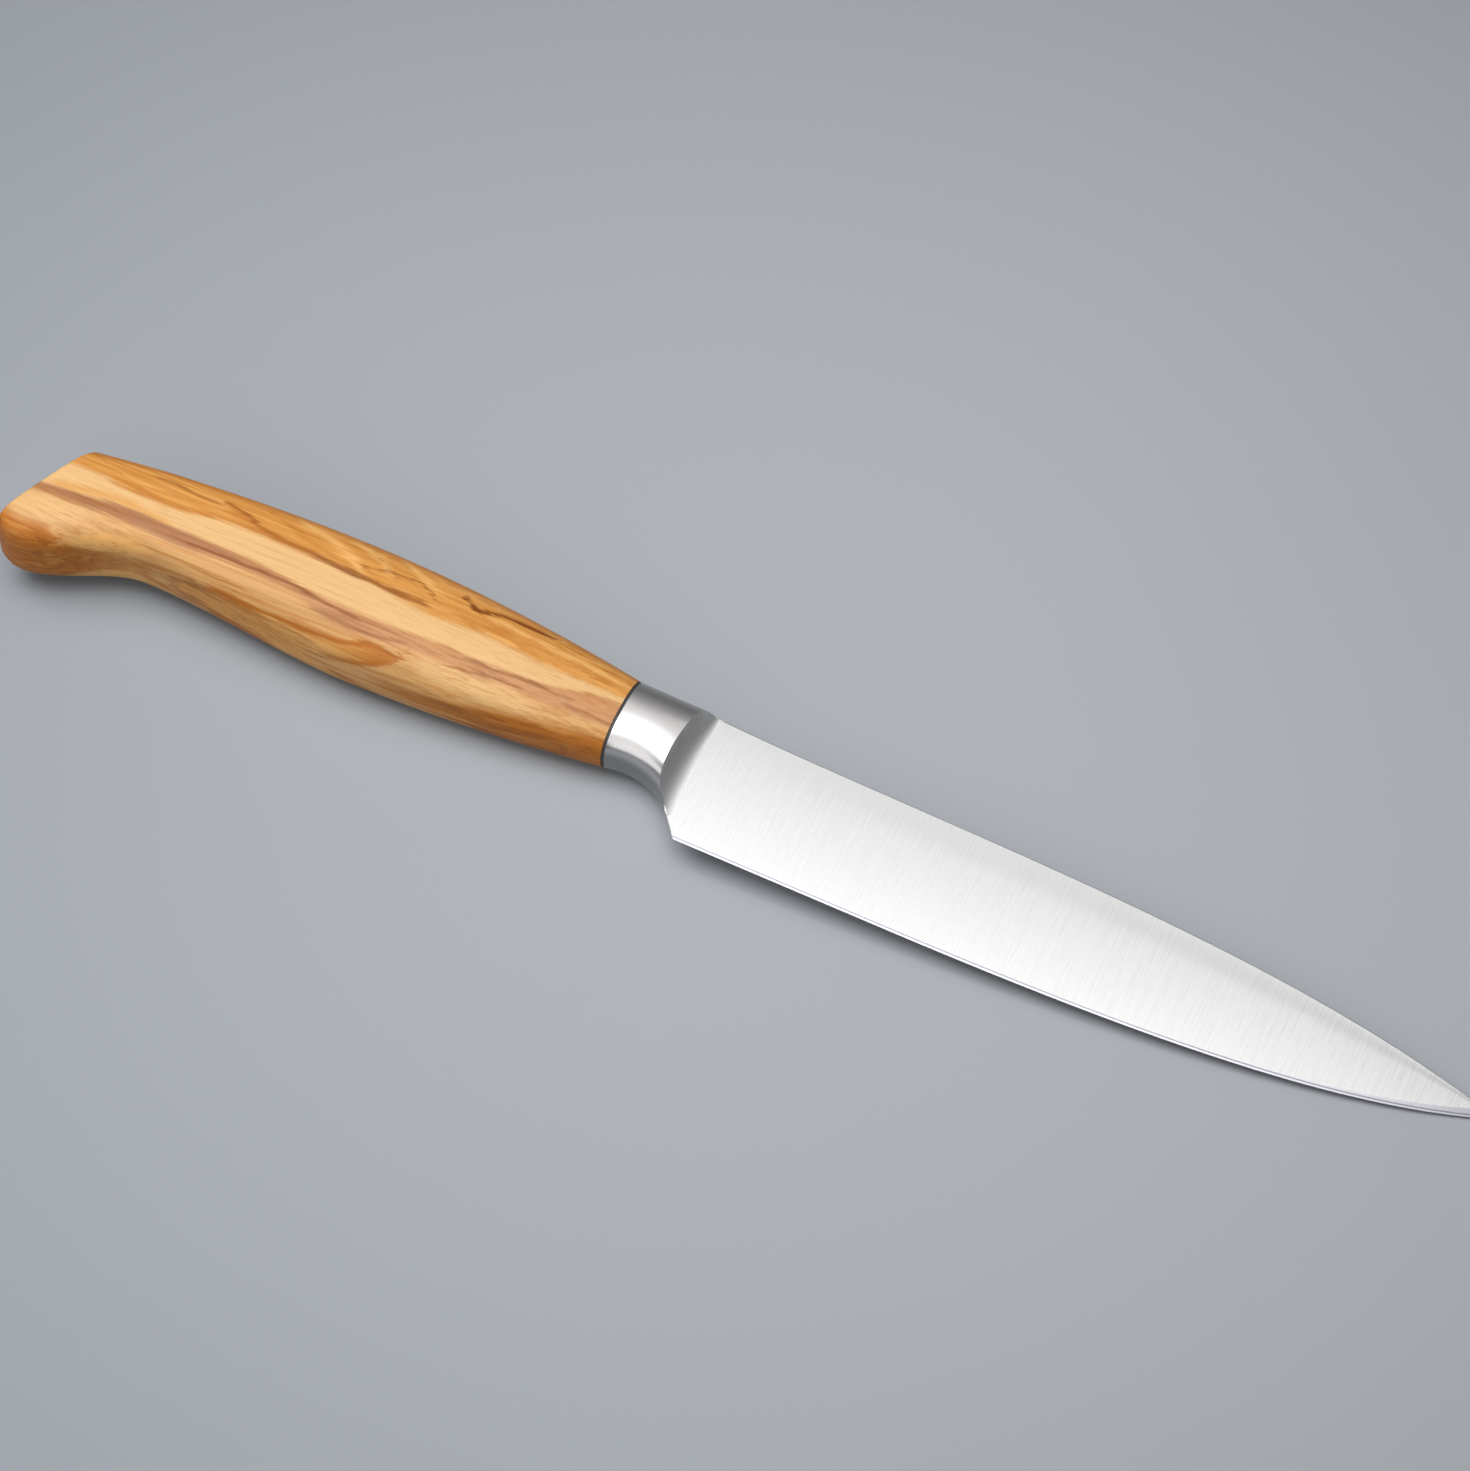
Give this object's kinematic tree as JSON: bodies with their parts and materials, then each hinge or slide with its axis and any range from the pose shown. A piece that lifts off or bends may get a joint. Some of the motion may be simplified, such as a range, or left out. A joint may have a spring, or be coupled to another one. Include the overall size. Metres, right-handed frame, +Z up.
{
  "type": "vegetable knife",
  "caption": "Slim forged vegetable knife with a half bolster, a black spacer and a one-piece olive-wood handle with a beaked butt, for slicing and trimming.",
  "frame": {"origin": "on the table below the middle of the lying knife's box", "axes": "+X along the blade to the tip, +Y to the spine, +Z up from the table the knife lies on"},
  "size_m": [0.2886, 0.0298, 0.0202],
  "materials": {
    "blade_steel": "satin-ground flanks with fine lines across the blade, polished bolster",
    "black_fibre": "ground flush, matt black",
    "olive_wood": "oiled, smooth, with dark figured grain along the handle",
    "resin": "cured amber resin, hidden"
  },
  "bodies": {
    "root": {"forged_blade": "blade_steel", "spacer": "black_fibre", "handle": "olive_wood", "adhesive_bed": "resin"}
  },
  "joints": []
}
